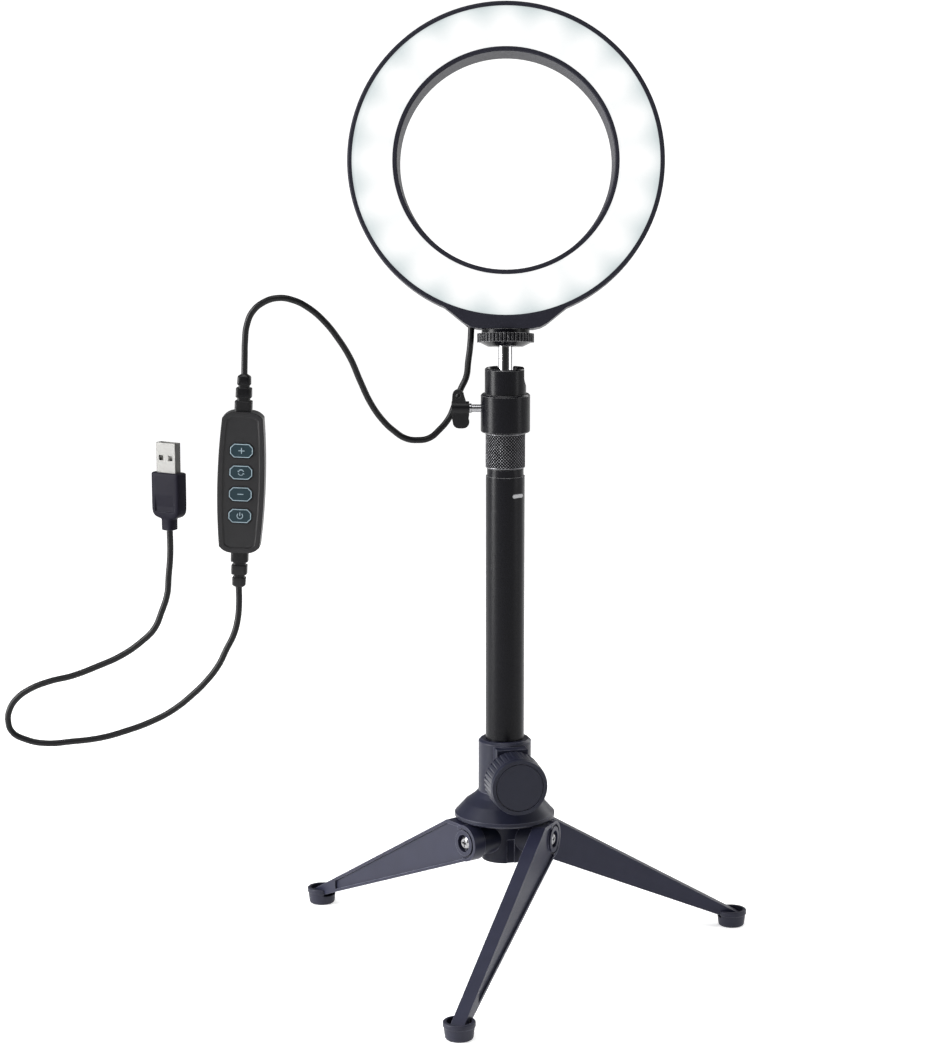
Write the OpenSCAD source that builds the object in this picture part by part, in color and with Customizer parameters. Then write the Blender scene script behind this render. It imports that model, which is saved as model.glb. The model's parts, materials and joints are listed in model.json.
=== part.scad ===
// Desktop ring light: LED ring on a mini ball head, sliding column and folding tripod,
// with an in-line controller and a USB plug on its cord.
// Origin: on the table, below the column's axis. +Z is up and the light faces -Y.

/* [Ring] */
// Outer diameter of the ring
ring_d = 160; // [156:1:170]
// Depth of the ring, front to back
ring_depth = 22; // [20:1:26]
// Lean of the ring and its stud, backwards from upright
head_lean = 9; // [0:1:12]
// Number of LEDs on the board
led_count = 40; // [20:10:60]

/* [Column] */
// Height of the ball's centre above the table
ball_z = 300; // [290:5:330]
// Outer diameter of the column
column_d = 20; // [20:0.1:20.1]

/* [Tripod] */
// Height of the leg pivots above the table
pivot_z = 64; // [60:1:64]
// Distance from the column's axis to the middle of a leg
leg_offset = 24; // [24:0.5:26]
// Thickness of a leg
leg_t = 7; // [6:0.5:7]
// Distance along a leg from its pivot to its foot's centre
foot_reach = 129; // [129:1:131]
// Bearing of the front leg's pivot, from +X
pivot_bearing = -20; // [-24:1:-16]
// Bearing of the clamp knob, from +X
clamp_bearing = -77.5; // [-84:0.5:-74]

/* [Cord] */
// Outer diameter of the cord
cord_d = 3.3; // [3:0.1:3.4]
// Height of the controller's case
case_h = 72.6; // [70:0.2:74]
// Width of the case at its middle
case_w = 24; // [23:0.5:25]
// Depth of the case
case_t = 11; // [10:0.5:12]

/* [Hidden] */
$fn = 96;
eps = 0.01;
fit = 0.05;

// Ring
ring_r = ring_d / 2;
front_z = ring_depth / 2;
rim_w = 2.3;
hole_front_r = 54.9;
hole_back_r = 53.9;
lip_r = 57.2;
floor_t = 2;
back_round = 4;
board_post_r = 2.8;
board_screw_count = 6;
led_ring_r = 67.6;
// Stud and wheel heights, above the ball's centre along the leaning stud
stud_r = 4.1;
thread_r = 3.17;
wheel_r = 14.5;
wheel_bottom = 19.4;
wheel_cone_top = 21.5;
wheel_band_top = 26;
wheel_top = 28;
bracket_bottom = 28.2;
bracket_drop = 84.4;
ring_rise = bracket_bottom + bracket_drop;
insert_top = bracket_bottom + 5.8;
insert_r = 5;
grommet_x = -17.5;
grommet_y = 3;
grommet_r = 2.4;
grommet_low = 29.4;
// Ball head, as heights above or below the ball's centre
ball_r = 7;
socket_r = ball_r + fit;
cup_r = 10.55;
cup_top = 8.7;
cup_bottom = -4.4;
mouth_low = 3;
mouth_r = 9.3;
notch_w = 9;
skirt_r = 9;
collar_r = 12.6;
collar_bottom = -24;
wing_drop = -12;
neck_r = 10.15;
// Column
column_r = column_d / 2;
bore_r = column_r + 0.08;
column_low = 56;
column_top = 253.5;
tube_wall = 1.5;
plug_r = column_r - tube_wall - fit;
groove_top = 257.4;
pin_bearing = -48;
pin_z = 244;
// Hub
core_r = 11.8;
core_low = 51.5;
flange_r = 26;
flange_low = pivot_z + 10;
flange_top = flange_low + 3.4;
sleeve_r = 13.65;
cone_top = 88.3;
hub_top = 115.8;
lug_r = 8;
clamp_z = 98.4;
boss_w = 16.4;
boss_reach = 18.5;
// Leg outline: pivot at its origin, +X towards the foot
root_r = 9.5;
leg_top = 9.8;
leg_top_x = 14;
top_slope = 0.562;
low_slope = 0.387;
tip_low = 3.6;
pivot_r = 1.75;
screw_pocket_r = 4.6;
boss_r = 6.7;
panel_depth = 1.1;
foot_slot_low = 5.2;
foot_r = 8;
foot_h = 9;
// Controller case
case_x = -134.7;
case_z = 250.2;
case_tilt = 2.3;
case_bow_r = 340;
case_wall = 1.3;
button_pitch = 11.2;
button_w = 11.6;
button_h = 7.1;
button_zs = [16.6, 5.4, -5.8, -17];
// Plug
plug_x = -172;
plug_z = 225;
plug_turn = -31;

// The cord's route, ring to controller
upper_route = [
    [-17.5, 7.9, 330.1], [-17.5, 7.4, 327.2], [-18, 6.5, 319], [-19, 7.5, 311],
    [-20, 10, 303], [-23, 12.5, 296],
    [-26, 14, 288], [-29, 14, 281], [-34, 13, 275], [-39, 12, 271], [-45, 11, 270],
    [-51, 10, 271], [-57, 9, 275], [-63, 8, 281], [-69, 7, 290], [-74, 6, 301],
    [-79, 5, 313], [-85, 4, 323], [-92, 3, 332], [-100, 2, 339], [-108, 1, 343],
    [-115, 0, 344], [-122, 0, 342], [-128, 0, 337], [-131, 0, 330], [-132, 0, 322],
    [-132.3, 0, 314], [-132.6, 0, 304]
];
// The cord's route, controller to plug
lower_route = [
    [-137, 0, 195.5], [-137, 0, 186], [-138, 0, 177], [-140, 0, 170], [-144, 0, 162],
    [-148, 0, 154], [-154, 0, 146], [-162, 0, 138], [-172, 0, 130], [-183, 0, 124],
    [-196, 0, 119], [-210, 0, 115], [-225, 0, 113], [-239, 0, 112], [-249, 0, 114],
    [-256, 0, 118], [-258, 0, 124], [-257, 0, 130], [-253, 0, 136], [-246, 0, 141],
    [-236, 0, 145], [-224, 0, 148], [-211, 0, 153], [-198, 0, 159], [-188, 0, 166],
    [-181, 0, 173], [-177, 0, 182], [-174, 0, 191], [-173, 0, 201], [-172, 0, 212],
    [-172, 0, 226]
];

// ---- Helpers ----

function unit(v) = v / norm(v);
function arc(cx, cy, r, from, to, steps = 8) =
    [for (i = [0:steps]) let (a = from + (to - from) * i / steps) [cx + r * cos(a), cy + r * sin(a)]];
// Direction of a route at its point i
function heading(path, i) = unit(path[min(i + 1, len(path) - 1)] - path[max(i - 1, 0)]);
// One ring of points around a route's point; the side vector stays near Y, so rings never twist
function ring_at(path, i, r, sides) =
    let (t = heading(path, i), u = unit(cross([0, 1, 0], t)), v = cross(t, u))
    [for (k = [0:sides - 1]) let (a = 360 * k / sides) path[i] + r * (u * cos(a) + v * sin(a))];

// A round tube swept along a route
module swept(path, d, sides = 8) {
    n = len(path);
    points = [for (i = [0:n - 1]) each ring_at(path, i, d / 2, sides)];
    walls = [for (i = [0:n - 2], k = [0:sides - 1])
        [i * sides + k, (i + 1) * sides + k, (i + 1) * sides + (k + 1) % sides, i * sides + (k + 1) % sides]];
    first = [for (k = [0:sides - 1]) k];
    last = [for (k = [sides - 1:-1:0]) (n - 1) * sides + k];
    polyhedron(points, concat(walls, [first, last]));
}

// Ball-centre frame leaning with the ring; +Z runs up the stud
module on_stud() {
    translate([0, 0, ball_z]) rotate([-head_lean, 0, 0]) children();
}
// Ring frame: +Z towards the viewer, +Y up
module on_ring() {
    on_stud() translate([0, 0, ring_rise]) rotate([90, 0, 0]) children();
}
// Frame of leg i: its pivot at the origin, +X towards its foot, +Y outwards
module on_leg(i) {
    rotate([0, 0, pivot_bearing - 90 - 120 * i]) translate([0, leg_offset, pivot_z]) children();
}
// Clamp frame: +Z out along the clamp screw from the column's axis
module on_clamp() {
    rotate([0, 0, clamp_bearing]) translate([0, 0, clamp_z]) rotate([0, 90, 0]) children();
}
// Frame of the wing screw: +Z out to the left from the column's axis
module on_wing() {
    translate([0, 0, ball_z + wing_drop]) rotate([0, -90, 0]) children();
}
// Controller frame: its centre at the origin, faces along Y
module on_case() {
    translate([case_x, 0, case_z]) rotate([0, case_tilt, 0]) children();
}
module on_plug() {
    translate([plug_x, 0, plug_z]) rotate([0, 0, plug_turn]) children();
}
// An outline in X and Z, extruded from y = from to y = to
module plate(from, to) {
    translate([0, to, 0]) rotate([90, 0, 0]) linear_extrude(to - from) children();
}
module tube_between(r, low, high) {
    translate([0, 0, low]) cylinder(r = r, h = high - low);
}
module cross_slot(w, d, t) {
    for (a = [0, 90]) rotate([0, 0, a]) translate([-w / 2, -t / 2, -d]) cube([w, t, d + 1]);
}

// ---- Hub ----

module hub_profile() {
    polygon([
        [0, core_low], [core_r, core_low], [core_r, flange_low], [flange_r - 0.8, flange_low],
        [flange_r, flange_low + 0.8], [flange_r, flange_top - 0.9], [flange_r - 0.9, flange_top],
        [20.6, 82.4], [16.2, 85.6], [sleeve_r, cone_top],
        [sleeve_r, hub_top - 1.2], [sleeve_r - 1.2, hub_top], [0, hub_top]
    ]);
}
module hub_body() {
    color("#2b2c36") difference() {
        union() {
            rotate_extrude() hub_profile();
            for (i = [0:2]) on_leg(i)
                translate([0, -leg_offset + 6, 0]) rotate([-90, 0, 0])
                    cylinder(r = lug_r, h = leg_offset - leg_t / 2 - 0.2 - 6);
            rotate([0, 0, clamp_bearing])
                translate([8, -boss_w / 2, 89]) cube([boss_reach - 8, boss_w, 24.8]);
        }
        tube_between(bore_r, core_low - 1, hub_top + 1);
        for (i = [0:2]) on_leg(i)
            translate([0, -leg_offset + 12.5, 0]) rotate([-90, 0, 0])
                cylinder(r = pivot_r + 0.03, h = leg_offset);
        on_clamp() {
            tube_between(3.5, 8, 13.4);
            tube_between(2.62, 13, 20);
            tube_between(4.75, 14.2, 17.4, $fn = 6);
        }
        rotate([0, 0, clamp_bearing + 4]) translate([core_r - 0.8, -2, core_low - 1]) cube([3, 4, 13.5]);
    }
}
module leg_pivot_screws() {
    color("#c9c9cc") for (i = [0:2]) on_leg(i) translate([0, 1.2, 0]) rotate([-90, 0, 0]) difference() {
        union() {
            translate([0, 0, -12.2]) cylinder(r = pivot_r, h = 12.3);
            cylinder(r = 3.3, h = 1.3);
            translate([0, 0, 1.3]) cylinder(r1 = 3.3, r2 = 2.3, h = 0.7);
        }
        translate([0, 0, 2]) cross_slot(3.6, 1.3, 0.9);
    }
}
module clamp_nut() {
    color("#c7a860") on_clamp() difference() {
        tube_between(4.7, 14.3, 17.3, $fn = 6);
        tube_between(2.55, 14, 18);
    }
}

// ---- Legs and feet ----

function leg_top_at(x) = leg_top - top_slope * (x - leg_top_x);
function leg_low_at(x) = -8.8 - low_slope * (x + 3.6);
module leg_outline() {
    heel = foot_reach - 4.5;
    toe = foot_reach + 4.5;
    polygon([
        [-3.4, -8.5], [-2, 9], [leg_top_x, leg_top], [toe, leg_top_at(toe)],
        [toe, tip_low - pivot_z], [heel, tip_low - pivot_z], [heel, leg_low_at(heel) + 0.4],
        [heel - 4, leg_low_at(heel - 4)]
    ]);
}
module leg_panel_outline() {
    difference() {
        polygon([
            [5, leg_top - 2], [leg_top_x + 0.4, leg_top - 2],
            [112, leg_top_at(112) - 1.7], [112, leg_low_at(112) + 1.7], [1, leg_low_at(1) + 1.9]
        ]);
        circle(r = boss_r);
    }
}
module leg(i) {
    color("#34353f") on_leg(i) difference() {
        union() {
            plate(-leg_t / 2, leg_t / 2) leg_outline();
            plate(-leg_t / 2, leg_t / 2 + 0.2) circle(r = root_r);
        }
        plate(leg_t / 2 - panel_depth, leg_t / 2 + 1) leg_panel_outline();
        plate(leg_t / 2 - panel_depth, leg_t / 2 + 1) difference() {
            circle(r = root_r - 1.6);
            circle(r = boss_r);
        }
        rotate([-90, 0, 0]) {
            translate([0, 0, -leg_t]) cylinder(r = pivot_r + fit, h = 2 * leg_t);
            translate([0, 0, 1.1]) cylinder(r = screw_pocket_r, h = leg_t);
        }
    }
}
module leg_front() { leg(0); }
module leg_left() { leg(1); }
module leg_right() { leg(2); }
module foot(i) {
    color("#1c1c20") on_leg(i) translate([foot_reach, 0, -pivot_z]) difference() {
        rotate_extrude() polygon(concat(
            [[0, 0], [5.6, 0]],
            arc(5.6, 1.4, 1.4, -90, 0, 4),
            [[7.6, 6.2], [foot_r, 6.6], [foot_r, foot_h - 0.4], [foot_r - 0.4, foot_h], [6.3, foot_h],
             [6.3, tip_low], [0, tip_low]]
        ));
        translate([-10, -leg_t / 2 - 0.2, foot_slot_low]) cube([10, leg_t + 0.4, 6]);
    }
}
module foot_front() { foot(0); }
module foot_left() { foot(1); }
module foot_right() { foot(2); }

// ---- Clamp ----

module clamp_pad() {
    color("#e8e6dc") on_clamp() tube_between(3.4, column_r + 0.06, 12.5);
}
module clamp_screw() {
    color("#b9babd") on_clamp() {
        tube_between(2.5, 12.5, 31);
        tube_between(4.4, 31, 33.6, $fn = 6);
    }
}
module clamp_knob() {
    color("#2c2d37") on_clamp() difference() {
        union() {
            translate([0, 0, 19.2]) cylinder(r1 = 14.6, r2 = 15.2, h = 1.4);
            translate([0, 0, 20.6]) cylinder(r1 = 15.2, r2 = 14.8, h = 13.6);
            translate([0, 0, 34.2]) cylinder(r1 = 14.8, r2 = 14.3, h = 1.8);
        }
        for (k = [0:35]) rotate([0, 0, 10 * k]) translate([15.55, 0, 20.4]) cylinder(r = 0.8, h = 13, $fn = 16);
        tube_between(2.53, 18, 32);
        tube_between(4.45, 31, 34, $fn = 6);
        tube_between(12.4, 33.8, 37);
    }
}
module clamp_knob_cap() {
    color("#2a2b36") on_clamp() {
        tube_between(12.1, 33.8, 35.8);
    }
}

// ---- Column ----

// Frame of the stop pin: +Z out from the column's axis, +Y level
module on_pin() {
    rotate([0, 0, pin_bearing]) translate([0, 0, pin_z]) rotate([0, 90, 0]) children();
}
module pin_solid(from, reach, grow) {
    translate([0, 0, from]) linear_extrude(reach) {
        square([2 + 2 * grow, 4.8], center = true);
        for (y = [-2.4, 2.4]) translate([0, y]) circle(r = 1 + grow);
    }
}

module column_tube() {
    color("#141416") difference() {
        tube_between(column_r, column_low, column_top);
        tube_between(column_r - tube_wall, column_low - 1, column_top + 1);
        on_pin() pin_solid(5, 8, 0.05);
    }
}
module column_end_plug() {
    color("#26262b") {
        tube_between(plug_r, column_low, column_low + 9);
        tube_between(column_r - 0.2, column_low - 2, column_low);
    }
}
module column_top_plug() {
    color("#17171a") difference() {
        union() {
            tube_between(plug_r, column_top - 15, column_top);
            tube_between(9.4, column_top, groove_top);
        }
        tube_between(thread_r + 0.03, column_top - 16, groove_top + 1);
        on_pin() pin_solid(4.6, 8, 0.05);
    }
}
module column_pin() {
    color("#cfcfd2") on_pin() pin_solid(4.7, column_r - 4.9, 0);
}
module neck_stud() {
    color("#b9babd") tube_between(thread_r, 240, 268);
}

// ---- Ball head ----

module knurled_neck() {
    color("#1d1d20") difference() {
        union() {
            tube_between(neck_r, groove_top + 0.2, ball_z + collar_bottom);
            tube_between(skirt_r, ball_z + collar_bottom, ball_z + collar_bottom + 5);
        }
        tube_between(thread_r + 0.06, groove_top, 269);
    }
}
module lock_collar() {
    low = ball_z + collar_bottom;
    high = ball_z + cup_bottom;
    color("#141416") difference() {
        rotate_extrude() polygon([
            [skirt_r + fit, low], [collar_r - 0.5, low], [collar_r, low + 0.5],
            [collar_r, high - 0.8], [collar_r - 0.8, high], [skirt_r + fit, high]
        ]);
        on_wing() tube_between(2.06, 8, 14);
    }
}
module ball_cup() {
    color("#141416") translate([0, 0, ball_z]) difference() {
        rotate_extrude() polygon([
            [0, -18], [skirt_r, -18], [skirt_r, cup_bottom], [cup_r, cup_bottom],
            [cup_r, cup_top - 0.6], [cup_r - 0.6, cup_top], [0, cup_top]
        ]);
        sphere(r = socket_r);
        tube_between(socket_r, -19, 0);
        low_r = sqrt(pow(socket_r, 2) - pow(mouth_low, 2));
        slope = (mouth_r - low_r) / (cup_top - mouth_low);
        translate([0, 0, mouth_low]) cylinder(r1 = low_r, r2 = mouth_r + slope, h = cup_top - mouth_low + 1);
        translate([0, 0, notch_w / 2 - 0.6]) {
            translate([4, -notch_w / 2, 0]) cube([12, notch_w, 12]);
            translate([4, 0, 0]) rotate([0, 90, 0]) cylinder(r = notch_w / 2, h = 12);
        }
        translate([0, 0, wing_drop]) rotate([0, -90, 0]) tube_between(2.4, 4, 12);
    }
}
module brake_plunger() {
    color("#dcdad0") translate([0, 0, ball_z]) difference() {
        tube_between(ball_r - 0.05, -17.8, -5.6);
        sphere(r = ball_r + 0.03);
        translate([0, 0, wing_drop]) rotate([0, -90, 0]) tube_between(2.4, 3.6, 10);
    }
}
module wing_screw() {
    color("#c4c4c8") on_wing() {
        tube_between(2, 3.7, 26.5);
        translate([0, 0, 17.2]) cylinder(r = 2.5, h = 1.1);
    }
}
module wing_lever() {
    color("#19191c") on_wing() difference() {
        union() {
            tube_between(3.6, 18.4, 27.4);
            plate(-2.1, 2.1) polygon(concat(
                arc(6.6, 24, 3, 90, -90, 10),
                [[0, 19], [-3.4, 18.4]],
                arc(-6.9, 21.5, 3.2, -60, -180, 6),
                arc(-6.9, 23.6, 3.2, 180, 90, 4),
                [[-3, 27.4], [0, 27.4]]
            ));
        }
        tube_between(2.02, 18, 26.5);
        translate([6.6, 5, 24]) rotate([90, 0, 0]) cylinder(r = 1.2, h = 10);
    }
}
module ball() {
    color("#d4d5d8") translate([0, 0, ball_z]) sphere(r = ball_r);
}
module ball_stud() {
    color("#d4d5d8") on_stud() difference() {
        union() {
            tube_between(stud_r, 4, wheel_bottom - 0.05);
            tube_between(thread_r, 10, insert_top - 0.5);
        }
        sphere(r = socket_r);
    }
}
module lock_wheel() {
    color("#1b1b1e") on_stud() difference() {
        union() {
            translate([0, 0, wheel_bottom])
                cylinder(r1 = 9, r2 = 13.2, h = wheel_cone_top - wheel_bottom);
            tube_between(wheel_r, wheel_cone_top, wheel_band_top);
            tube_between(12.2, wheel_band_top, wheel_top);
        }
        for (k = [0:44]) rotate([0, 0, 8 * k])
            translate([wheel_r + 0.25, 0, wheel_cone_top - 1]) cylinder(r = 0.7, h = 8, $fn = 16);
        tube_between(thread_r + fit, wheel_bottom - 1, wheel_top + 1);
    }
}

// ---- Ring ----

module ring_tray_profile() {
    polygon(concat(
        [[hole_back_r, 1.2 - front_z], [hole_back_r + 1.2, -front_z]],
        arc(ring_r - back_round, back_round - front_z, back_round, -90, 0),
        [[ring_r, front_z - 0.7], [ring_r - 0.7, front_z], [ring_r - rim_w, front_z],
         [ring_r - rim_w, floor_t - front_z], [lip_r, floor_t - front_z], [lip_r, front_z],
         [hole_front_r + 0.5, front_z], [hole_front_r, front_z - 0.5]]
    ));
}
module bracket_outline() {
    polygon([
        [-33, -72], [-23.6, -79.6], [-20.6, -82], [-17.6, -83.6], [-14, -bracket_drop],
        [14, -bracket_drop], [17.6, -83.6], [20.6, -82], [23.6, -79.6], [33, -72]
    ]);
}
module ring_housing() {
    color("#23242c") difference() {
        union() {
            on_ring() {
                rotate_extrude() ring_tray_profile();
                difference() {
                    translate([0, 0, 0.8 - front_z]) linear_extrude(ring_depth - 0.8) bracket_outline();
                    tube_between(ring_r - rim_w / 2, -front_z - 1, front_z + 1);
                }
                for (k = [0:board_screw_count - 1]) rotate([0, 0, 30 + 60 * k])
                    translate([61.5, 0, 1 - front_z]) cylinder(r = board_post_r, h = front_z - 1);
            }
        }
        on_ring() for (k = [0:board_screw_count - 1]) rotate([0, 0, 30 + 60 * k])
            translate([61.5, 0, -6]) cylinder(r = 1.22, h = 10);
        on_stud() {
            tube_between(insert_r + 0.03, bracket_bottom - 1, insert_top + 0.2);
            translate([grommet_x, grommet_y, 0]) tube_between(grommet_r + 0.03, 26, 33);
        }
    }
}
module diffuser() {
    color("#f4f8fb") on_ring() rotate_extrude() polygon([
        [lip_r + fit, front_z - 2.6], [ring_r - rim_w - fit, front_z - 2.6],
        [ring_r - rim_w - fit, front_z - 0.6], [ring_r - rim_w - 2.4, front_z - 0.2],
        [lip_r + 2.4, front_z - 0.2], [lip_r + fit, front_z - 0.6]
    ]);
}
module led_board() {
    color("#f0f0ea") on_ring() difference() {
        tube_between(76.4, 0, 1.6);
        tube_between(58.2, -1, 3);
        for (k = [0:board_screw_count - 1]) rotate([0, 0, 30 + 60 * k])
            translate([61.5, 0, -1]) cylinder(r = 1.3, h = 4);
    }
}
module leds() {
    color("#f6e9b0") on_ring() for (k = [0:led_count - 1]) rotate([0, 0, 360 / led_count * k])
        translate([led_ring_r - 1.4, -1.75, 1.6]) cube([2.8, 3.5, 0.9]);
}
module board_screws() {
    color("#c9c9cc") on_ring() for (k = [0:board_screw_count - 1]) rotate([0, 0, 30 + 60 * k])
        translate([61.5, 0, 0]) difference() {
            union() {
                tube_between(1.2, -5.8, 1.7);
                tube_between(2.4, 1.6, 3);
            }
            translate([0, 0, 3]) cross_slot(2.6, 0.8, 0.6);
        }
}
module bracket_insert() {
    color("#c7a860") on_stud() difference() {
        tube_between(insert_r, bracket_bottom + 0.1, insert_top);
        tube_between(thread_r + 0.03, bracket_bottom - 1, insert_top + 1);
    }
}
module cord_grommet() {
    color("#1a1a1c") on_stud() translate([grommet_x, grommet_y, 0]) difference() {
        tube_between(grommet_r, grommet_low, 32.9);
        tube_between(cord_d / 2 + fit, grommet_low - 1, 34);
    }
}
module cord_upper() {
    color("#26272a") swept(upper_route, cord_d);
}
module cord_lower() {
    color("#26272a") swept(lower_route, cord_d);
}

// ---- Controller ----

// The case's outline, drawn in by a margin: straight ends, bowed sides, round corners
module case_outline(margin = 0) {
    w = case_w - 2 * margin;
    h = case_h - 2 * margin;
    r = 8 - margin;
    intersection() {
        union() {
            square([w - 2 * r, h], center = true);
            square([w, h - 2 * r], center = true);
            for (x = [-1, 1], y = [-1, 1]) translate([x * (w / 2 - r), y * (h / 2 - r)]) circle(r = r);
        }
        translate([case_bow_r - w / 2, 0]) circle(r = case_bow_r, $fn = 720);
        translate([w / 2 - case_bow_r, 0]) circle(r = case_bow_r, $fn = 720);
    }
}
module button_outline(grow = 0) {
    w = button_w / 2 + grow;
    h = button_h / 2 + grow;
    c = 2;
    polygon([
        [c - w, -h], [w - c, -h], [w, c - h], [w, h - c], [w - c, h], [c - w, h], [-w, h - c], [-w, c - h]
    ]);
}
module case_front() {
    color("#303134") on_case() difference() {
        plate(-case_t / 2, 0) case_outline();
        plate(1.4 - case_t / 2, 1) case_outline(case_wall);
        plate(-case_t / 2 - 1, 0.3 - case_t / 2) case_outline(2.6);
        for (z = button_zs) translate([0, 0, z]) plate(-case_t, 0) button_outline(0.15);
        for (s = [-1, 1]) tube_between(2.6, s > 0 ? 20 : -40, s > 0 ? 40 : -20);
    }
}
module case_back() {
    color("#2b2c2f") on_case() difference() {
        plate(0, case_t / 2) case_outline();
        plate(-1, case_t / 2 - 1.4) case_outline(case_wall);
        for (s = [-1, 1]) tube_between(2.6, s > 0 ? 20 : -40, s > 0 ? 40 : -20);
        for (s = [-1, 1]) translate([0, 0, 26 * s]) plate(3, 8) circle(r = 1.25);
        for (s = [-1, 1]) translate([0, 0, 26 * s]) plate(case_t / 2 - 0.6, 8) circle(r = 2.2);
    }
}
module case_screws() {
    color("#9a9a9e") on_case() for (s = [-1, 1]) translate([0, 0, 26 * s]) {
        plate(2.4, case_t / 2 - 0.6) circle(r = 1.2);
        plate(case_t / 2 - 0.6, case_t / 2 - 0.1) circle(r = 2.1);
    }
}
module case_board() {
    color("#2f6b46") on_case() plate(-0.9, 0.7) square([17, 46], center = true);
}
module button(k) {
    color("#2a2f35") on_case() translate([0, 0, button_zs[k]]) {
        plate(-case_t / 2 - 0.2, -2.2) button_outline();
        plate(-3.2, -1.7) button_outline(0.8);
    }
}
module button_plus() { button(0); }
module button_mode() { button(1); }
module button_minus() { button(2); }
module button_power() { button(3); }
// A notched boot; s is 1 above the case and -1 below it
module relief(s) {
    end = case_h / 2;
    color("#1c1c1e") on_case() difference() {
        mirror([0, 0, s < 0 ? 1 : 0]) {
            tube_between(2.55, end - 4, end + 18);
            tube_between(4.7, end + 0.1, end + 5.2);
            tube_between(3.4, end + 5.2, end + 6.8);
            tube_between(4.1, end + 6.8, end + 11.8);
            tube_between(2.9, end + 11.8, end + 13.4);
            tube_between(3.4, end + 13.4, end + 18);
        }
        mirror([0, 0, s < 0 ? 1 : 0]) tube_between(cord_d / 2 + fit, end - 5, end + 19);
    }
}
module relief_upper() { relief(1); }
module relief_lower() { relief(-1); }

// ---- Plug ----

module overmold_outline() {
    polygon(concat(
        arc(3.7, 11.4, 5, -70, 0, 6), [[8.7, 29.8]],
        [[-8.7, 29.8]], arc(-3.7, 11.4, 5, 180, 250, 6)
    ));
}
module usb_overmold() {
    color("#24242e") on_plug() difference() {
        union() {
            plate(-4, 4) overmold_outline();
            tube_between(3.5, 0, 8);
        }
        tube_between(cord_d / 2 + fit, -1, 7);
        translate([-6.2, -2.45, 25.8]) cube([12.4, 4.9, 6]);
    }
}
module usb_shell() {
    color("#d8d6d0") on_plug() difference() {
        translate([-6, -2.25, 26]) cube([12, 4.5, 19.2]);
        translate([-5.7, -1.95, 27]) cube([11.4, 3.9, 20]);
        for (x = [-1, 1]) translate([2.9 * x - 1.3, -3, 36.1]) cube([2.6, 6, 2.6]);
    }
}
module usb_tongue() {
    color("#e9e9ea") on_plug() translate([-5.6, -0.1, 27]) cube([11.2, 1.9, 17]);
}

hub_body();
leg_pivot_screws();
clamp_nut();
leg_front();
leg_left();
leg_right();
foot_front();
foot_left();
foot_right();
clamp_pad();
clamp_screw();
clamp_knob();
clamp_knob_cap();
column_tube();
column_end_plug();
column_top_plug();
column_pin();
neck_stud();
knurled_neck();
lock_collar();
ball_cup();
brake_plunger();
wing_screw();
wing_lever();
ball();
ball_stud();
lock_wheel();
ring_housing();
diffuser();
led_board();
leds();
board_screws();
bracket_insert();
cord_grommet();
cord_upper();
cord_lower();
case_front();
case_back();
case_board();
case_screws();
button_plus();
button_mode();
button_minus();
button_power();
relief_upper();
relief_lower();
usb_overmold();
usb_shell();
usb_tongue();
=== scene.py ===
import json
import math

import bmesh
import bpy
from mathutils import Matrix, Vector


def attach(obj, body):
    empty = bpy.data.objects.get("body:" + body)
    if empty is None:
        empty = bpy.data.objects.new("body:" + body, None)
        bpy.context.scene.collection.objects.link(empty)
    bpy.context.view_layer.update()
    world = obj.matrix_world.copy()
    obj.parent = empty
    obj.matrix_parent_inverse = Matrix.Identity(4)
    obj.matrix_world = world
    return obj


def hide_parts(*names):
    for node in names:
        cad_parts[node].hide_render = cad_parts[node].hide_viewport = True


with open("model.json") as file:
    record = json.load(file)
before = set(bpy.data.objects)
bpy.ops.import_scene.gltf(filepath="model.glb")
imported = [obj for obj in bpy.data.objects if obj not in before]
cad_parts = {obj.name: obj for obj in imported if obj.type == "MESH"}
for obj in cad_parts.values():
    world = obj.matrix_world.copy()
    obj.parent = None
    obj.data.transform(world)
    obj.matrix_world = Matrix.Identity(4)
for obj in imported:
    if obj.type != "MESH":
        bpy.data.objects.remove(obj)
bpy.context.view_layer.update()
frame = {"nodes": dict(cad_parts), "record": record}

MM = 0.001
NODES = frame["nodes"]
SCENE = bpy.context.scene

# ---------------------------------------------------------------- camera

CAMERA_AT = (0.0, -1.409, 0.478)
CAMERA_PITCH = 10.06
CAMERA_YAW = 0.67
LENS = 106.364
SENSOR = 36.0


def make_camera():
    data = bpy.data.cameras.new("camera")
    data.sensor_fit = "HORIZONTAL"
    data.sensor_width = SENSOR
    data.lens = LENS
    camera = bpy.data.objects.new("camera", data)
    camera.location = CAMERA_AT
    camera.rotation_euler = (
        math.radians(90 - CAMERA_PITCH), 0, math.radians(CAMERA_YAW))
    SCENE.collection.objects.link(camera)
    SCENE.camera = camera


# ---------------------------------------------------------------- cords

CORD_D = 3.3 * MM
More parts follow.
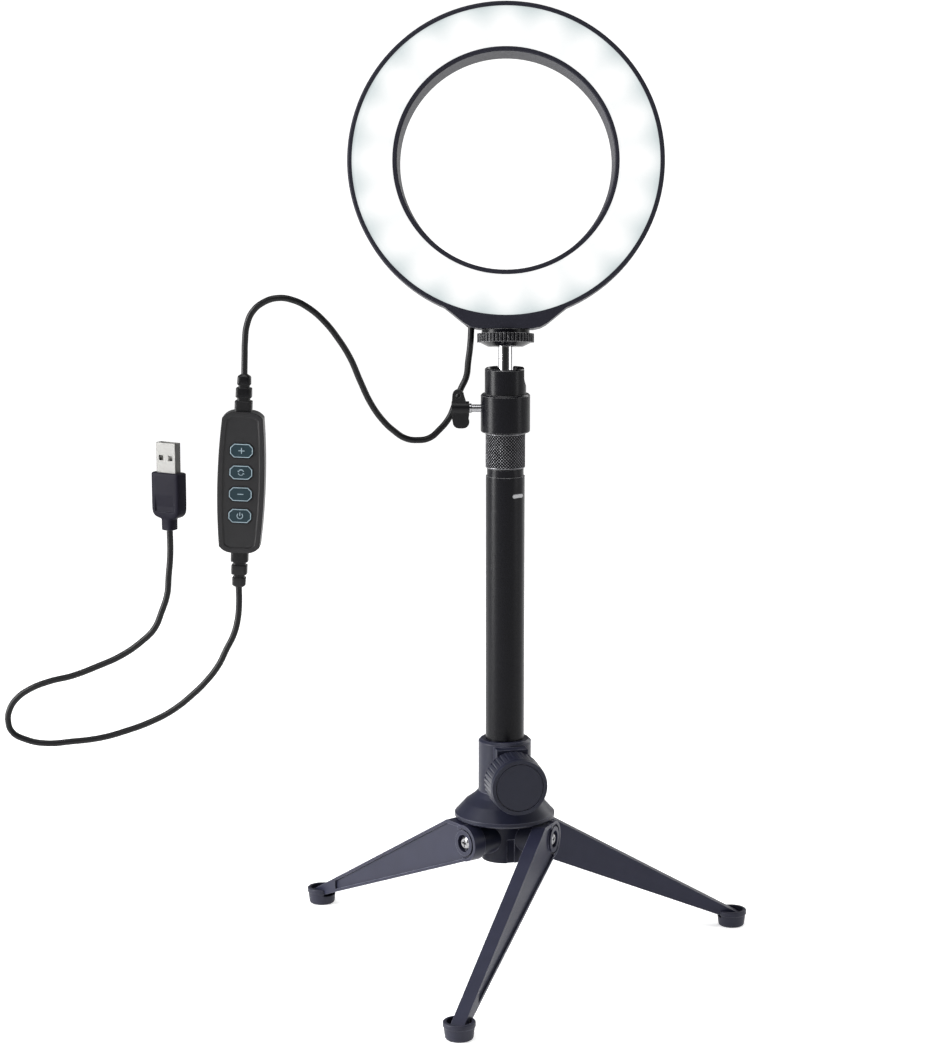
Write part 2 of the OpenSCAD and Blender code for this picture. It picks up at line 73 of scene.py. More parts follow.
# The routes of part.scad, in millimetres
UPPER_ROUTE = [
    (-17.5, 7.9, 330.1), (-17.5, 7.4, 327.2), (-18, 6.5, 319), (-19, 7.5, 311),
    (-20, 10, 303), (-23, 12.5, 296),
    (-26, 14, 288), (-29, 14, 281), (-34, 13, 275), (-39, 12, 271), (-45, 11, 270),
    (-51, 10, 271), (-57, 9, 275), (-63, 8, 281), (-69, 7, 290), (-74, 6, 301),
    (-79, 5, 313), (-85, 4, 323), (-92, 3, 332), (-100, 2, 339), (-108, 1, 343),
    (-115, 0, 344), (-122, 0, 342), (-128, 0, 337), (-131, 0, 330), (-132, 0, 322),
    (-132.3, 0, 314), (-132.6, 0, 304),
]
LOWER_ROUTE = [
    (-137, 0, 195.5), (-137, 0, 186), (-138, 0, 177), (-140, 0, 170), (-144, 0, 162),
    (-148, 0, 154), (-154, 0, 146), (-162, 0, 138), (-172, 0, 130), (-183, 0, 124),
    (-196, 0, 119), (-210, 0, 115), (-225, 0, 113), (-239, 0, 112), (-249, 0, 114),
    (-256, 0, 118), (-258, 0, 124), (-257, 0, 130), (-253, 0, 136), (-246, 0, 141),
    (-236, 0, 145), (-224, 0, 148), (-211, 0, 153), (-198, 0, 159), (-188, 0, 166),
    (-181, 0, 173), (-177, 0, 182), (-174, 0, 191), (-173, 0, 201), (-172, 0, 212),
    (-172, 0, 226),
]


def in_metres(route):
    return [Vector(p) * MM for p in route]


def cord_curve(name, route, material):
    data = bpy.data.curves.new(name, "CURVE")
    data.dimensions = "3D"
    data.bevel_depth = CORD_D / 2
    data.bevel_resolution = 5
    data.resolution_u = 8
    data.use_fill_caps = True
    spline = data.splines.new("BEZIER")
    points = in_metres(route)
    spline.bezier_points.add(len(points) - 1)
    for bezier, point in zip(spline.bezier_points, points):
        bezier.co = point
        bezier.handle_left_type = "AUTO"
        bezier.handle_right_type = "AUTO"
    piece = bpy.data.objects.new(name, data)
    SCENE.collection.objects.link(piece)
    data.materials.append(material)
    return piece


# ---------------------------------------------------------------- frames of the part

BALL_Z = 300
LEAN = math.radians(9)
RING_RISE = 112.6
CASE_AT = (-134.7, 0, 250.2)
CASE_TILT = math.radians(2.3)
PLUG_AT = (-172, 0, 225)
PLUG_TURN = math.radians(-31)


def on_stud(x, y, z):
    """A point of the leaning stud's frame, in millimetres, as a point of the row in metres."""
    c, s = math.cos(LEAN), math.sin(LEAN)
    return Vector((x, y * c + z * s, BALL_Z + z * c - y * s)) * MM


CASE_FRAME = Matrix.Translation(Vector(CASE_AT) * MM) @ Matrix.Rotation(CASE_TILT, 4, "Y")
PLUG_FRAME = Matrix.Translation(Vector(PLUG_AT) * MM) @ Matrix.Rotation(PLUG_TURN, 4, "Z")


# ---------------------------------------------------------------- meshes

def mesh_piece(name, verts, faces, material, frame_matrix=Matrix.Identity(4), smooth=True):
    """A mesh from points in millimetres in a frame, joined into one object."""
    mesh = bpy.data.meshes.new(name)
    mesh.from_pydata([frame_matrix @ (Vector(v) * MM) for v in verts], [], faces)
    shell = bmesh.new()
    shell.from_mesh(mesh)
    bmesh.ops.recalc_face_normals(shell, faces=shell.faces)
    shell.to_mesh(mesh)
    shell.free()
    for face in mesh.polygons:
        face.use_smooth = smooth
    mesh.materials.append(material)
    piece = bpy.data.objects.new(name, mesh)
    SCENE.collection.objects.link(piece)
    return piece


def loft(rings, close=True):
    """Vertices and faces that join rings of equal length, with flat ends if close is set."""
    count = len(rings[0])
    verts = [p for ring in rings for p in ring]
    faces = []
    for i in range(len(rings) - 1):
        for k in range(count):
            a, b = i * count + k, i * count + (k + 1) % count
            faces.append((a, b, b + count, a + count))
    if close:
        faces.append(tuple(range(count))[::-1])
        faces.append(tuple(range(len(verts) - count, len(verts))))
    return verts, faces


def arc(radius, angles):
    """Points in a plane on a circle round its origin, at these angles."""
    return [(radius * math.cos(a), radius * math.sin(a)) for a in angles]


def superellipse(half_x, half_y, power, z, count=64):
    """A rounded rectangle's ring at height z."""
    ring = []
    for k in range(count):
        angle = math.tau * k / count
        c, s = math.cos(angle), math.sin(angle)
        x = half_x * math.copysign(abs(c) ** (2 / power), c)
        y = half_y * math.copysign(abs(s) ** (2 / power), s)
        ring.append((x, y, z))
    return ring


def sharpen(piece, angle):
    """Smooth shading that keeps edges over this many degrees."""
    bpy.context.view_layer.objects.active = piece
    for other in bpy.context.selected_objects:
        other.select_set(False)
    piece.select_set(True)
    bpy.ops.object.shade_smooth_by_angle(angle=math.radians(angle))
    piece.select_set(False)


def ride(piece, body, slot, *nodes):
    """Ties a piece to a body and hides the CAD nodes it stands in for; the slot is not used."""
    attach(piece, body)
    if nodes:
        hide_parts(*nodes)
    return piece


# ---------------------------------------------------------------- materials

class Nodes:
    """Short calls for building one material's node tree."""

    def __init__(self, name):
        self.material = bpy.data.materials.new(name)
        self.material.use_nodes = True
        self.tree = self.material.node_tree
        self.shader = self.tree.nodes["Principled BSDF"]

    def new(self, kind):
        return self.tree.nodes.new(kind)

    def link(self, source, target):
        self.tree.links.new(source, target)

    def place(self):
        return self.new("ShaderNodeTexCoord").outputs["Object"]

    def noise(self, size, detail=4.0):
        node = self.new("ShaderNodeTexNoise")
        node.inputs["Scale"].default_value = 1 / size
        node.inputs["Detail"].default_value = detail
        self.link(self.place(), node.inputs["Vector"])
        return node.outputs["Fac"]

    def remap(self, value, low, high, to_low, to_high):
        node = self.new("ShaderNodeMapRange")
        for key, number in zip(
                ("From Min", "From Max", "To Min", "To Max"), (low, high, to_low, to_high)):
            node.inputs[key].default_value = number
        self.link(value, node.inputs["Value"])
        return node.outputs["Result"]

    def maths(self, operation, a, b=None):
        node = self.new("ShaderNodeMath")
        node.operation = operation
        for slot, value in zip(node.inputs, (a, b)):
            if value is None:
                continue
            if isinstance(value, (int, float)):
                slot.default_value = value
            else:
                self.link(value, slot)
        return node.outputs["Value"]

    def mix(self, factor, a, b):
        node = self.new("ShaderNodeMix")
        node.data_type = "RGBA"
        for key, value in ((0, factor), (6, a), (7, b)):
            if isinstance(value, (int, float)):
                node.inputs[key].default_value = value
            elif isinstance(value, tuple):
                node.inputs[key].default_value = (*value, 1)
            else:
                self.link(value, node.inputs[key])
        return node.outputs[2]


def shade(colour, factor):
    return tuple(min(1.0, c * factor) for c in colour)


def surface(name, colour, rough, metal=0.0, mottle=0.18, mottle_size=9 * MM,
            grain=0.25, grain_size=0.35 * MM, grain_depth=0.012 * MM,
            edge=0.5, edge_radius=0.35 * MM, edge_colour=None, specular=0.5):
    """Moulded, turned or anodised surface: mottled colour, fine grain, and rounded edges painted
    in edge_colour, mostly a painted highlight and partly wear.
    """
    n = Nodes(name)
    broad = n.noise(mottle_size)
    fine = n.noise(grain_size, 2.0)
    base = n.mix(broad, shade(colour, 1 - mottle), shade(colour, 1 + mottle))
    rounded = n.new("ShaderNodeBevel")
    rounded.samples = 6
    rounded.inputs["Radius"].default_value = edge_radius
    flat = n.new("ShaderNodeNewGeometry").outputs["Normal"]
    dot = n.new("ShaderNodeVectorMath")
    dot.operation = "DOT_PRODUCT"
    n.link(rounded.outputs["Normal"], dot.inputs[0])
    n.link(flat, dot.inputs[1])
    # Rounded edges, where the bevel's normal parts from the face's: painted in edge_colour, a
    # painted highlight where that is lighter, partly also wear
    edge_wear_and_highlight = n.remap(dot.outputs["Value"], 0.995, 0.8, 0.0, edge)
    patchy = n.remap(broad, 0.35, 0.6, 0.35, 1.0)
    base = n.mix(n.maths("MULTIPLY", edge_wear_and_highlight, patchy), base, edge_colour or shade(colour, 2.2))
    n.link(base, n.shader.inputs["Base Color"])
    n.link(n.remap(fine, 0.3, 0.7, rough - grain * 0.3, rough + grain * 0.3),
           n.shader.inputs["Roughness"])
    bump = n.new("ShaderNodeBump")
    bump.inputs["Distance"].default_value = grain_depth
    bump.inputs["Strength"].default_value = 0.6
    n.link(fine, bump.inputs["Height"])
    n.link(rounded.outputs["Normal"], bump.inputs["Normal"])
    n.link(bump.outputs["Normal"], n.shader.inputs["Normal"])
    n.shader.inputs["Metallic"].default_value = metal
    n.shader.inputs["Specular IOR Level"].default_value = specular
    return n.material


def knurled(name, groove, tip_highlight_colour):
    """Black knurl with a painted highlight: a light grey colour on the tips of its diamonds."""
    n = Nodes(name)
    parts = n.new("ShaderNodeSeparateXYZ")
    n.link(n.place(), parts.inputs[0])
    x, y = parts.outputs["X"], parts.outputs["Y"]
    squares = n.maths("ADD", n.maths("MULTIPLY", x, x), n.maths("MULTIPLY", y, y))
    depth = n.remap(n.maths("SQRT", squares), (NECK_R - 0.5 * KNURL_DEPTH) * MM,
                    NECK_R * MM, 0.0, 1.0)
    patchy = n.remap(n.noise(2.5 * MM), 0.3, 0.7, 0.6, 1.0)
    # Painted highlight: the diamonds' tips get the light grey colour and the grooves stay black
    n.link(n.mix(n.maths("MULTIPLY", depth, patchy), groove, tip_highlight_colour),
           n.shader.inputs["Base Color"])
    fine = n.noise(0.3 * MM, 2.0)
    n.link(n.remap(fine, 0.3, 0.7, 0.28, 0.42), n.shader.inputs["Roughness"])
    bump = n.new("ShaderNodeBump")
    bump.inputs["Distance"].default_value = 0.01 * MM
    n.link(fine, bump.inputs["Height"])
    n.link(bump.outputs["Normal"], n.shader.inputs["Normal"])
    n.shader.inputs["Metallic"].default_value = 0.8
    n.shader.inputs["Specular IOR Level"].default_value = 0.3
    return n.material


GLOW_COUNT = 20
GLOW_MIDDLE = 64 * MM
GLOW_FALL = 13 * MM
# How much darker the diffuser gets outwards, and its brightness where that starts
GLOW_DIM = 0.22
GLOW_TOP = 0.94
# How strong the spots are inside GLOW_MIDDLE, and how much stronger GLOW_FALL further out
SPOT_DEPTH = 0.035
SPOT_GROWTH = 0.045


def in_ring(n):
    """Object coordinates turned into the ring's own frame, its centre at the origin."""
    mapping = n.new("ShaderNodeMapping")
    mapping.vector_type = "TEXTURE"
    mapping.inputs["Location"].default_value = on_stud(0, 0, RING_RISE)
    mapping.inputs["Rotation"].default_value = (-LEAN, 0, 0)
    n.link(n.place(), mapping.inputs["Vector"])
    parts = n.new("ShaderNodeSeparateXYZ")
    n.link(mapping.outputs["Vector"], parts.inputs[0])
    return parts.outputs["X"], parts.outputs["Z"]


def glow(name):
    """Frosted diffuser lit from behind: soft bright spots, falling off to a cool tint outside."""
    n = Nodes(name)
    x, z = in_ring(n)
    squares = n.maths("ADD", n.maths("MULTIPLY", x, x), n.maths("MULTIPLY", z, z))
    radius = n.maths("SQRT", squares)
    out = n.maths("MAXIMUM", n.maths("DIVIDE", n.maths("SUBTRACT", radius, GLOW_MIDDLE),
                                     GLOW_FALL), 0.0)
    fall = n.maths("MULTIPLY", out, out)
    wave = n.maths("COSINE", n.maths("MULTIPLY", n.maths("ARCTAN2", z, x), GLOW_COUNT))
    depth = n.maths("ADD", n.maths("MULTIPLY", out, SPOT_GROWTH), SPOT_DEPTH)
    spots = n.maths("MULTIPLY", wave, depth)
    patch = n.remap(n.noise(16 * MM, 2.0), 0.3, 0.7, -0.015, 0.015)
    strength = n.maths("SUBTRACT", GLOW_TOP, n.maths("MULTIPLY", fall, GLOW_DIM))
    strength = n.maths("ADD", n.maths("ADD", strength, spots), patch)
    tint = n.remap(strength, 0.68, 0.95, 1.0, 0.0)
    n.link(n.mix(tint, (1.0, 1.0, 1.0), (0.90, 0.99, 1.0)), n.shader.inputs["Emission Color"])
    n.link(strength, n.shader.inputs["Emission Strength"])
    n.link(n.mix(n.noise(3 * MM), (0.05, 0.05, 0.05), (0.07, 0.07, 0.07)),
           n.shader.inputs["Base Color"])
    n.shader.inputs["Roughness"].default_value = 0.5
    n.shader.inputs["Specular IOR Level"].default_value = 0.15
    return n.material


# Light colours painted on rounded edges: painted highlights, partly standing for wear
BLACK_EDGE_HIGHLIGHT = (0.42, 0.42, 0.43)
NAVY_EDGE_HIGHLIGHT = (0.22, 0.225, 0.28)


# Each lighter edge_colour below is a painted highlight on rounded edges, partly wear; the case's
# near-black one paints its edges darker than its faces
def make_materials():
    return {
        "anodised_black": surface(
            "anodised_black", (0.0020, 0.0020, 0.0034), 0.27, mottle=0.2, specular=0.13,
            edge=0.9, edge_colour=BLACK_EDGE_HIGHLIGHT),
        # The second colour is the knurl's painted highlight on its diamond tips
        "knurl_black": knurled("knurl_black", (0.002, 0.002, 0.003), (0.17, 0.17, 0.18)),
        "hub_plastic": surface(
            "hub_plastic", (0.011, 0.012, 0.023), 0.40, specular=0.18, edge=0.8,
            edge_colour=NAVY_EDGE_HIGHLIGHT, edge_radius=0.6 * MM),
        "leg_plastic": surface(
            "leg_plastic", (0.015, 0.016, 0.032), 0.40, specular=0.22, edge=0.8,
            edge_colour=NAVY_EDGE_HIGHLIGHT),
        "foot_rubber": surface(
            "foot_rubber", (0.014, 0.0145, 0.027), 0.5, specular=0.25, edge=0.5,
            edge_colour=(0.09, 0.09, 0.11), edge_radius=0.6 * MM),
        "knob_plastic": surface(
            "knob_plastic", (0.010, 0.011, 0.021), 0.36, specular=0.2, edge=0.45,
            edge_colour=(0.12, 0.125, 0.16), edge_radius=0.25 * MM),
        "bright_steel": surface(
            "bright_steel", (0.30, 0.30, 0.31), 0.25, metal=1.0, mottle=0.06, edge=0.2),
        "chrome": surface(
            "chrome", (0.86, 0.86, 0.87), 0.08, metal=1.0, mottle=0.02, grain=0.04,
            grain_depth=0.002 * MM, edge=0.1),
        "brass": surface("brass", (0.6, 0.42, 0.16), 0.3, metal=1.0),
        "nylon": surface("nylon", (0.75, 0.74, 0.7), 0.5),
        "ring_plastic": surface(
            "ring_plastic", (0.015, 0.015, 0.021), 0.42, specular=0.09, edge=0.5,
            edge_colour=(0.06, 0.06, 0.075)),
        "diffuser_white": glow("diffuser_white"),
        "board_white": surface("board_white", (0.8, 0.8, 0.76), 0.5),
        "led_yellow": surface("led_yellow", (0.85, 0.75, 0.3), 0.3),
        "cord_black": surface(
            "cord_black", (0.0045, 0.0045, 0.0052), 0.36, specular=0.19, edge=0.3,
            edge_colour=(0.05, 0.05, 0.05)),
        # Its rounded edges are painted near-black, darker than its faces
        "case_plastic": surface(
            "case_plastic", (0.011, 0.0108, 0.0118), 0.42, specular=0.26, edge=0.8,
            edge_colour=(0.002, 0.002, 0.0022), edge_radius=0.9 * MM),
        "button_membrane": surface(
            "button_membrane", (0.006, 0.019, 0.026), 0.35, specular=0.25, edge=0.2),
        "legend": surface(
            "legend", (0.23, 0.30, 0.34), 0.5, edge=0.0, specular=0.2),
        "board_green": surface("board_green", (0.02, 0.12, 0.05), 0.4),
        "plug_plastic": surface(
            "plug_plastic", (0.007, 0.0065, 0.011), 0.46, specular=0.05, edge=0.5,
            edge_colour=(0.09, 0.09, 0.11)),
        "nickel": surface(
            "nickel", (0.115, 0.114, 0.110), 0.46, metal=1.0, mottle=0.05, edge=0.2),
    }


# Nodes that look different from the rest of their slot
OTHER_LOOK = {"wing_lever": "cord_black"}


def dress_nodes(materials):
    slots = {s["node"]: s["material_slot"] for s in frame["record"]["subparts"]}
    for name, piece in NODES.items():
        material = materials[OTHER_LOOK.get(name, slots[name])]
        if not piece.material_slots:
            piece.data.materials.append(material)
        for place in piece.material_slots:
            place.material = material


# ---------------------------------------------------------------- knurled neck

NECK_R = 10.15
NECK_LOW = 257.7
NECK_HIGH = 275.9
NECK_BAND = 0.7
NECK_CHAMFER = 0.3
KNURL_COUNT = 40
KNURL_PITCH = 1.6
KNURL_DEPTH = 0.42
KNURL_STEPS = 10
# Over 1 leaves the diamonds flat on top
KNURL_RISE = 1.7
# Radius of the neck's inner edge at its lower and upper end
NECK_CORE = 3.4
NECK_CORE_HIGH = 0.35 * (NECK_R - NECK_CHAMFER)


def ridge(turns):
    """1 in the middle of each turn and 0 at its ends."""
    return 1 - abs(2 * (turns % 1.0) - 1)


def knurl_radius(around, height):
    """Radius of the diamond knurl, with a plain band at each end."""
    edge = min(height - NECK_LOW, NECK_HIGH - height)
    if edge < NECK_CHAMFER:
        return NECK_R - NECK_CHAMFER + edge
    if edge < NECK_BAND:
        return NECK_R
    up = ridge(around + height / KNURL_PITCH)
    down = ridge(around - height / KNURL_PITCH)
    return NECK_R - KNURL_DEPTH * (1 - min(1.0, KNURL_RISE * min(up, down)))


def circle(radius, height, count):
    angles = [math.tau * k / count for k in range(count)]
    return [(x, y, height) for x, y in arc(radius, angles)]


def make_knurl(materials):
    around = KNURL_COUNT * KNURL_STEPS
    rows = round((NECK_HIGH - NECK_LOW) / KNURL_PITCH * KNURL_STEPS)
    rings = [circle(NECK_CORE, NECK_LOW, around)]
    for row in range(rows + 1):
        z = NECK_LOW + (NECK_HIGH - NECK_LOW) * row / rows
        ring = []
        for k in range(around):
            r = knurl_radius(k / KNURL_STEPS, z)
            angle = math.tau * k / around
            ring.append((r * math.cos(angle), r * math.sin(angle), z))
        rings.append(ring)
    rings.append(circle(NECK_CORE_HIGH, NECK_HIGH, around))
    verts, faces = loft(rings, close=False)
    neck = mesh_piece("knurled_grip", verts, faces, materials["knurl_black"], smooth=False)
    ride(neck, "ball_head", "anodised_black", "knurled_neck")


# ---------------------------------------------------------------- cord boots

CASE_END = 36.3
# Height above the case's end, half width, half depth and squareness of each step
BOOT_STEPS = [
    (-0.4, 4.5, 3.9, 5), (5.0, 4.5, 3.9, 5), (5.3, 4.2, 3.6, 5), (5.4, 3.3, 3.0, 4),
    (6.9, 3.3, 3.0, 4), (7.0, 3.9, 3.4, 5), (7.3, 4.15, 3.6, 5), (11.6, 4.1, 3.5, 5),
    (11.9, 3.8, 3.3, 5), (12.0, 2.9, 2.7, 4), (13.4, 2.9, 2.7, 4), (13.5, 3.3, 2.9, 5),
    (13.8, 3.55, 3.1, 5), (17.4, 3.45, 3.0, 4), (18.0, 3.1, 2.7, 3), (18.9, 1.72, 1.72, 2),
]


def make_boot(name, side, node, materials):
    rings = []
    for height, half_x, half_y, power in BOOT_STEPS:
        ring = superellipse(half_x, half_y, power, side * (CASE_END + height))
        rings.append(ring)
    verts, faces = loft(rings)
    boot = mesh_piece(name, verts, faces, materials["cord_black"], CASE_FRAME)
    sharpen(boot, 35)
    ride(boot, "light", "cord_black", node)
    return boot


# ---------------------------------------------------------------- plug

# Height, half width, half depth and squareness of the overmold
MOLD_STEPS = [
    (0.0, 3.1, 3.0, 3), (0.3, 3.5, 3.4, 3.5), (5.6, 3.6, 3.4, 3.5), (6.2, 4.3, 3.5, 4),
    (6.5, 5.6, 3.6, 5), (7.1, 6.9, 3.75, 6), (8.0, 7.8, 3.9, 7), (9.2, 8.35, 4.0, 8),
    (10.8, 8.6, 4.0, 9), (14.0, 8.7, 4.0, 9), (20.0, 8.7, 4.0, 9), (28.8, 8.7, 4.0, 9),
    (29.4, 8.6, 3.9, 9), (29.8, 8.2, 3.5, 8),
]
# The same for the inner edge of its open end
MOLD_MOUTH = (29.8, 6.1, 2.35, 12)
MOLD_POINTS = 120
# Heights of the thumb recess's ledge and of its long slope's start and end
GRIP_LOW = 9.6
GRIP_SLOPE = 12.4
GRIP_HIGH = 18.4
GRIP_HALF = 6.2
GRIP_DEPTH = 0.7
# Rise of the ledge, and width of the slope at each side
GRIP_LEDGE = 0.25
GRIP_SIDE = 0.5


def stepped(steps, heights):
    """The steps' values at each of these heights, straight between them."""
    rows = []
    for z in heights:
        for low, high in zip(steps, steps[1:]):
            if low[0] <= z <= high[0] and high[0] > low[0]:
                t = (z - low[0]) / (high[0] - low[0])
                rows.append(tuple(a + (b - a) * t for a, b in zip(low, high)))
                break
    return rows


def grip(x, y, z):
    """The thumb recess: a shallow dip with a ledge at its lower end, on both faces."""
    if abs(y) < 2.5 or abs(x) > GRIP_HALF:
        return y
    side = min(1.0, (GRIP_HALF - abs(x)) / GRIP_SIDE)
    low = max(0.0, min(1.0, (z - GRIP_LOW) / GRIP_LEDGE))
    high = max(0.0, min(1.0, (GRIP_HIGH - z) / (GRIP_HIGH - GRIP_SLOPE)))
    return y - math.copysign(GRIP_DEPTH * side * low * high, y)


def make_overmold(materials):
    fine = [GRIP_LOW + GRIP_LEDGE * k for k in range(-4, 14)]
    heights = sorted({step[0] for step in MOLD_STEPS} | set(fine) | set(range(14, 28)))
    rings = []
    for z, half_x, half_y, power in stepped(MOLD_STEPS, heights):
        ring = superellipse(half_x, half_y, power, z, MOLD_POINTS)
        rings.append([(x, grip(x, y, z), z) for x, y, z in ring])
    z, half_x, half_y, power = MOLD_MOUTH
    rings.append(superellipse(half_x, half_y, power, z, MOLD_POINTS))
    verts, faces = loft(rings, close=False)
    mold = mesh_piece("plug_grip", verts, faces, materials["plug_plastic"], PLUG_FRAME)
    sharpen(mold, 30)
    return ride(mold, "light", "plug_plastic", "usb_overmold")


# ---------------------------------------------------------------- cord pieces


def make_cord(name, route, node, material):
    """A cord tied to the light's body, standing in for the CAD node it hides."""
    cord = cord_curve(name, route, material)
    ride(cord, "light", "cord_black", node)


def make_cords(materials, mold, legends):
    black = materials["cord_black"]
    make_cord("cord_to_keypad", UPPER_ROUTE, "cord_upper",
              black)
    make_cord("cord_to_plug", LOWER_ROUTE, "cord_lower",
              black)


# ---------------------------------------------------------------- key legends

KEY_FACE = -5.72
KEY_HALF_W = 5.8
KEY_HALF_H = 3.55
KEY_CORNER = 2.0
LINE = 0.42
LEGEND_H = 0.08
LEGEND_SINK = 0.05
OUTLINE_INSET = 0.05
KEYS = [("plus", 16.6), ("mode", 5.4), ("minus", -5.8), ("power", -17.0)]


def octagon(inset):
    w, h = KEY_HALF_W - inset, KEY_HALF_H - inset
    c = KEY_CORNER - inset * 0.59
    return [(c - w, -h), (w - c, -h), (w, c - h), (w, h - c),
            (w - c, h), (c - w, h), (-w, h - c), (-w, c - h)]


def on_key(outline):
    """An outline's points in front of the key's face, then the same points just inside it."""
    front = [(x, KEY_FACE - LEGEND_H, z) for x, z in outline]
    back = [(x, KEY_FACE + LEGEND_SINK, z) for x, z in outline]
    return front + back


def band(outer, inner):
    """Flat band between two outlines of equal length, closed, as vertices and faces."""
    n = len(outer)
    faces = []
    for k in range(n):
        j = (k + 1) % n
        faces.append((k, j, n + j, n + k))
        faces.append((2 * n + j, 2 * n + k, 3 * n + k, 3 * n + j))
        faces.append((j, k, 2 * n + k, 2 * n + j))
        faces.append((n + k, n + j, 3 * n + j, 3 * n + k))
    return on_key(outer + inner), faces


def plate(outline):
    """Flat plate with this outline."""
    n = len(outline)
    faces = [tuple(range(n)), tuple(range(2 * n - 1, n - 1, -1))]
    faces += [(k, n + k, n + (k + 1) % n, (k + 1) % n) for k in range(n)]
    return on_key(outline), faces


def bar(x0, z0, x1, z1):
    """Flat bar with opposite corners at these points."""
    return plate([(x0, z0), (x1, z0), (x1, z1), (x0, z1)])


def arc_band(radius, start, end, steps=18):
    """Arc as wide as a line, made of short plates, its angles in degrees from +X."""
    angles = [math.radians(start + (end - start) * k / steps) for k in range(steps + 1)]
    outer = arc(radius + LINE / 2, angles)
    inner = arc(radius - LINE / 2, angles)
    verts, faces = [], []
    for k in range(steps):
        add((verts, faces), plate([outer[k], outer[k + 1], inner[k + 1], inner[k]]))
    return verts, faces


def add(target, part):
    """Appends one part's vertices and faces to another's."""
    verts, faces = target
    start = len(verts)
    verts.extend(part[0])
    faces.extend(tuple(start + i for i in face) for face in part[1])


def arrow_head(radius, angle, size=0.62):
    """Small triangle at the end of a turning arrow."""
    a = math.radians(angle)
    x, z = radius * math.cos(a), radius * math.sin(a)
    ahead = (-math.sin(a) * size, math.cos(a) * size)
    side = (math.cos(a) * size, math.sin(a) * size)
    return plate([(x + side[0], z + side[1]), (x + ahead[0], z + ahead[1]),
                  (x - side[0], z - side[1])])


def key_sign(kind):
    sign = ([], [])
    half = LINE / 2
    if kind in ("plus", "minus"):
        add(sign, bar(-1.5, -half, 1.5, half))
    if kind == "plus":
        add(sign, bar(-half, half, half, 1.5))
        add(sign, bar(-half, -1.5, half, -half))
    if kind == "power":
        add(sign, arc_band(1.45, 130, 410))
        add(sign, bar(-half, 0.0, half, 1.9))
    if kind == "mode":
        add(sign, arc_band(1.4, 20, 140))
        add(sign, arrow_head(1.4, 150))
        add(sign, arc_band(1.4, 200, 320))
        add(sign, arrow_head(1.4, 330))
    return sign


def make_legends(materials):
    legends = []
    for kind, height in KEYS:
        frame_matrix = CASE_FRAME @ Matrix.Translation((0, 0, height * MM))
        drawing = ([], [])
        add(drawing, band(octagon(OUTLINE_INSET), octagon(OUTLINE_INSET + LINE)))
        add(drawing, key_sign(kind))
        legend = mesh_piece("legend_" + kind, *drawing, materials["legend"], frame_matrix,
                            smooth=False)
        legends.append(ride(legend, kind + "_key", "board_white"))
    return legends


# ---------------------------------------------------------------- stage

# Distance where the floor's own light starts and stops rising, and its strength there
FLOOR_GLOW = (0.6, 4.0, 0.58, 1.0)
FLOOR_SIDE = 400
WHITE_STRENGTH = 1.05


def make_floor():
    n = Nodes("pale_floor")
    n.link(n.mix(n.noise(0.3), (0.80, 0.80, 0.80), (0.84, 0.84, 0.84)),
           n.shader.inputs["Base Color"])
    n.shader.inputs["Roughness"].default_value = 0.7
    n.shader.inputs["Specular IOR Level"].default_value = 0.1
    distance = n.new("ShaderNodeVectorMath")
    distance.operation = "LENGTH"
    n.link(n.place(), distance.inputs[0])
    n.shader.inputs["Emission Color"].default_value = (1, 1, 1, 1)
    n.link(n.remap(distance.outputs["Value"], *FLOOR_GLOW), n.shader.inputs["Emission Strength"])
    bpy.ops.mesh.primitive_plane_add(size=FLOOR_SIDE)
    floor = bpy.context.object
    floor.name = "floor"
    floor.data.materials.append(n.material)


def area_light(name, at, aim, size, power, colour=(1, 1, 1)):
    data = bpy.data.lights.new(name, "AREA")
    data.shape = "RECTANGLE"
    data.size, data.size_y = size
    data.energy = power
    data.color = colour
    light = bpy.data.objects.new(name, data)
    light.location = at
    light.rotation_euler = (Vector(aim) - Vector(at)).to_track_quat("-Z", "Y").to_euler()
    light.visible_camera = False
    SCENE.collection.objects.link(light)


# Direction's Y where the shade starts and ends, and the light's strength there
FRONT_SHADE = (-0.86, -0.62, 0.03, 0.32)


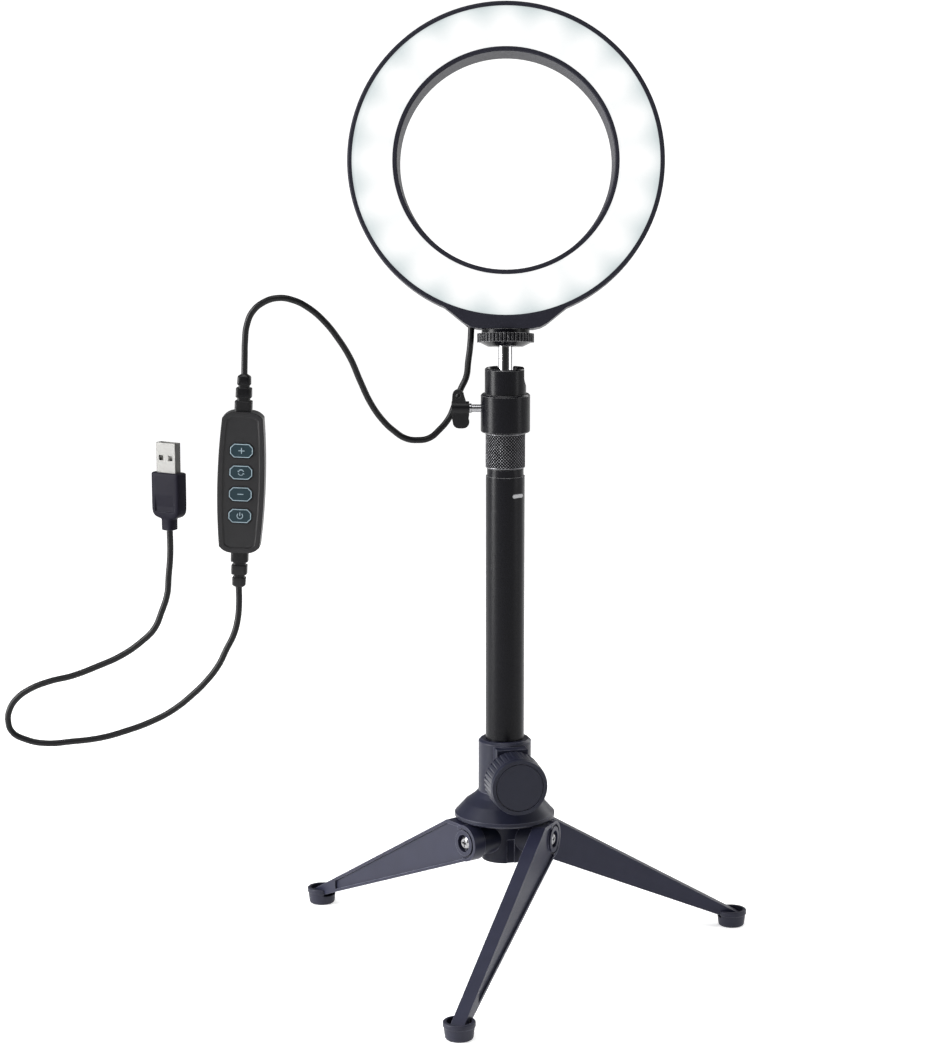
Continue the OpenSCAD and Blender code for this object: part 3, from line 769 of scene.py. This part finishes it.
def make_world():
    """White to look at, and dimmer as a light, with a dark side in front of the object."""
    world = bpy.data.worlds.new("studio")
    SCENE.world = world
    world.use_nodes = True
    tree = world.node_tree
    tree.nodes["Background"].inputs["Color"].default_value = (1, 1, 1, 1)
    tree.nodes["Background"].inputs["Strength"].default_value = WHITE_STRENGTH
    direction = tree.nodes.new("ShaderNodeTexCoord")
    parts = tree.nodes.new("ShaderNodeSeparateXYZ")
    front = tree.nodes.new("ShaderNodeMapRange")
    front.interpolation_type = "SMOOTHSTEP"
    for key, value in zip(("From Min", "From Max", "To Min", "To Max"), FRONT_SHADE):
        front.inputs[key].default_value = value
    lighting = tree.nodes.new("ShaderNodeBackground")
    paths = tree.nodes.new("ShaderNodeLightPath")
    choose = tree.nodes.new("ShaderNodeMixShader")
    tree.links.new(direction.outputs["Generated"], parts.inputs[0])
    tree.links.new(parts.outputs["Y"], front.inputs["Value"])
    tree.links.new(front.outputs["Result"], lighting.inputs["Strength"])
    tree.links.new(paths.outputs["Is Camera Ray"], choose.inputs[0])
    tree.links.new(lighting.outputs[0], choose.inputs[1])
    tree.links.new(tree.nodes["Background"].outputs[0], choose.inputs[2])
    tree.links.new(choose.outputs[0], tree.nodes["World Output"].inputs["Surface"])


def make_light():
    make_world()
    area_light("key_left", (-1.25, -0.35, 0.62), (0, 0, 0.30), (0.5, 1.2), 37)
    area_light("fill_right", (1.3, -0.5, 0.6), (0, 0, 0.25), (0.35, 1.1), 5)
    area_light("back_rim", (0.9, 1.1, 0.9), (0, 0, 0.25), (0.5, 0.9), 8)
    area_light("top", (-0.2, -0.3, 1.7), (0, 0, 0.1), (1.0, 1.0), 12)
    SCENE.view_settings.view_transform = "Standard"


make_camera()
MATERIALS = make_materials()
BOOTS = [make_boot("boot_upper", 1, "relief_upper", MATERIALS),
         make_boot("boot_lower", -1, "relief_lower", MATERIALS)]
make_cords(MATERIALS, make_overmold(MATERIALS), make_legends(MATERIALS))
make_knurl(MATERIALS)
dress_nodes(MATERIALS)
make_floor()
make_light()
